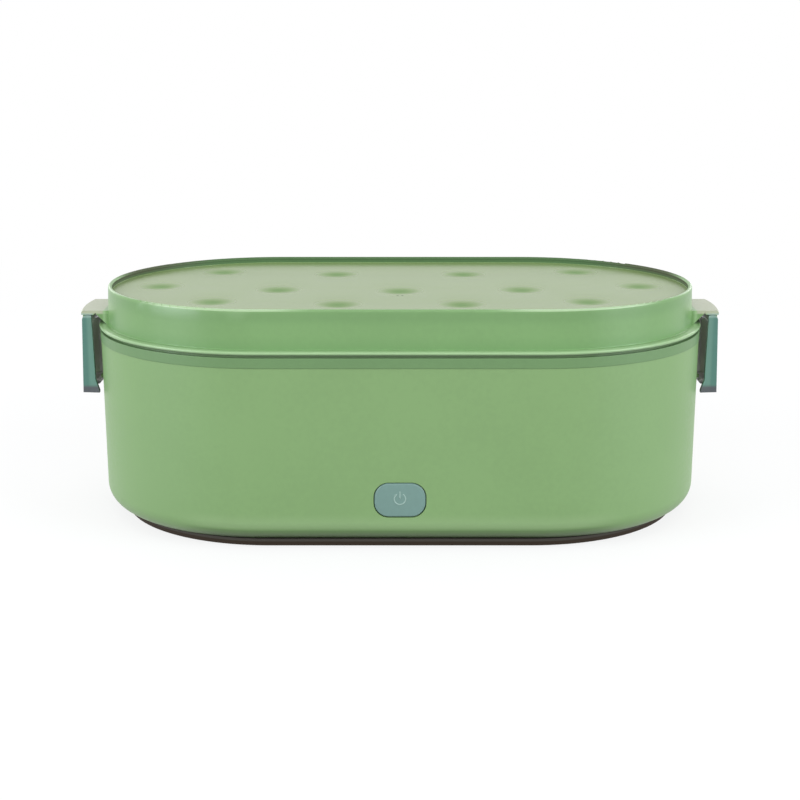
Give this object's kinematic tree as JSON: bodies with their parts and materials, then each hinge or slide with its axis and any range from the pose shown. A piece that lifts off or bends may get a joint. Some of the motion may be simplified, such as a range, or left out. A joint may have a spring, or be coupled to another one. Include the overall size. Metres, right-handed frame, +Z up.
{
  "type": "electric lunch box",
  "caption": "Oval heated lunch box: green shell, steel tub with a sealed lid, lift-off outer lid with a sunk dimpled top, side latches, power button and rear mains inlet.",
  "frame": {"origin": "middle of the base on the table, under the body's centre", "axes": "+Z up, front with the power button along -Y, +X to the right along the body's length"},
  "size_m": [0.255, 0.136, 0.0907],
  "materials": {
    "green_plastic": "satin",
    "lid_plastic": "satin",
    "collar_plastic": "satin",
    "latch_plastic": "satin",
    "button_plastic": "satin",
    "base_plastic": "fine texture",
    "black_rubber": "matt",
    "silicone": "satin",
    "stainless_steel": "brushed",
    "zinc_steel": "plated",
    "aluminium": "machined",
    "white_plastic": "smooth",
    "black_plastic": "fine texture",
    "ceramic": "glazed",
    "circuit_board": "solder mask",
    "relay_plastic": "smooth",
    "capacitor_plastic": "smooth",
    "clear_lens": "clear",
    "brass": "plated",
    "wire_brown": "insulation",
    "wire_blue": "insulation",
    "wire_red": "insulation",
    "wire_white": "insulation"
  },
  "bodies": {
    "body": {"body_shell": "green_plastic", "inner_liner": "collar_plastic", "base_plate": "base_plastic", "base_screws": "zinc_steel", "rubber_feet": "black_rubber", "heating_plate": "aluminium", "plate_gasket": "silicone", "ptc_heater": "aluminium", "heater_clamp": "zinc_steel", "clamp_screws": "zinc_steel", "thermostat": "black_plastic", "thermal_fuse": "ceramic", "control_board": "circuit_board", "board_screws": "zinc_steel", "tact_switch": "black_plastic", "indicator_led": "clear_lens", "power_relay": "relay_plastic", "capacitor": "capacitor_plastic", "power_inlet": "black_plastic", "inlet_pins": "brass", "live_wire": "wire_brown", "neutral_wire": "wire_blue", "fuse_wire": "wire_red", "thermostat_wire": "wire_white", "heater_wire": "wire_red", "return_wire": "wire_white"},
    "button": {"power_button": "button_plastic", "switch_plunger": "white_plastic"},
    "container": {"food_container": "stainless_steel"},
    "inner_lid": {"container_lid": "white_plastic", "container_seal": "silicone"},
    "valve": {"steam_valve": "silicone"},
    "lid": {"outer_lid": "lid_plastic", "latch_pin_left": "zinc_steel", "latch_pin_right": "zinc_steel"},
    "left_latch": {"latch_left": "latch_plastic"},
    "right_latch": {"latch_right": "latch_plastic"}
  },
  "joints": [
    {"name": "button_press", "type": "slide", "parent": "body", "child": "button", "axis": [0, 1, 0], "range_m": [0, 0.0006], "stiffness_N_per_m": 600},
    {"name": "container_lift", "type": "slide", "parent": "body", "child": "container", "axis": [0, 0, 1], "range_m": [0, 0.045]},
    {"name": "inner_lid_lift", "type": "slide", "parent": "container", "child": "inner_lid", "axis": [0, 0, 1], "range_m": [0, 0.03]},
    {"name": "valve_lift", "type": "slide", "parent": "inner_lid", "child": "valve", "axis": [0, 0, 1], "range_m": [0, 0.003]},
    {"name": "lid_lift", "type": "slide", "parent": "inner_lid", "child": "lid", "axis": [0, 0, 1], "range_m": [0, 0.04]},
    {"name": "left_latch_hinge", "type": "hinge", "parent": "lid", "child": "left_latch", "pos_m": [-0.12348, 0, 0.0773], "axis": [0, 1, 0], "range_deg": [-2.5, 85]},
    {"name": "right_latch_hinge", "type": "hinge", "parent": "lid", "child": "right_latch", "pos_m": [0.12348, 0, 0.0773], "axis": [0, -1, 0], "range_deg": [-2.5, 85]}
  ]
}
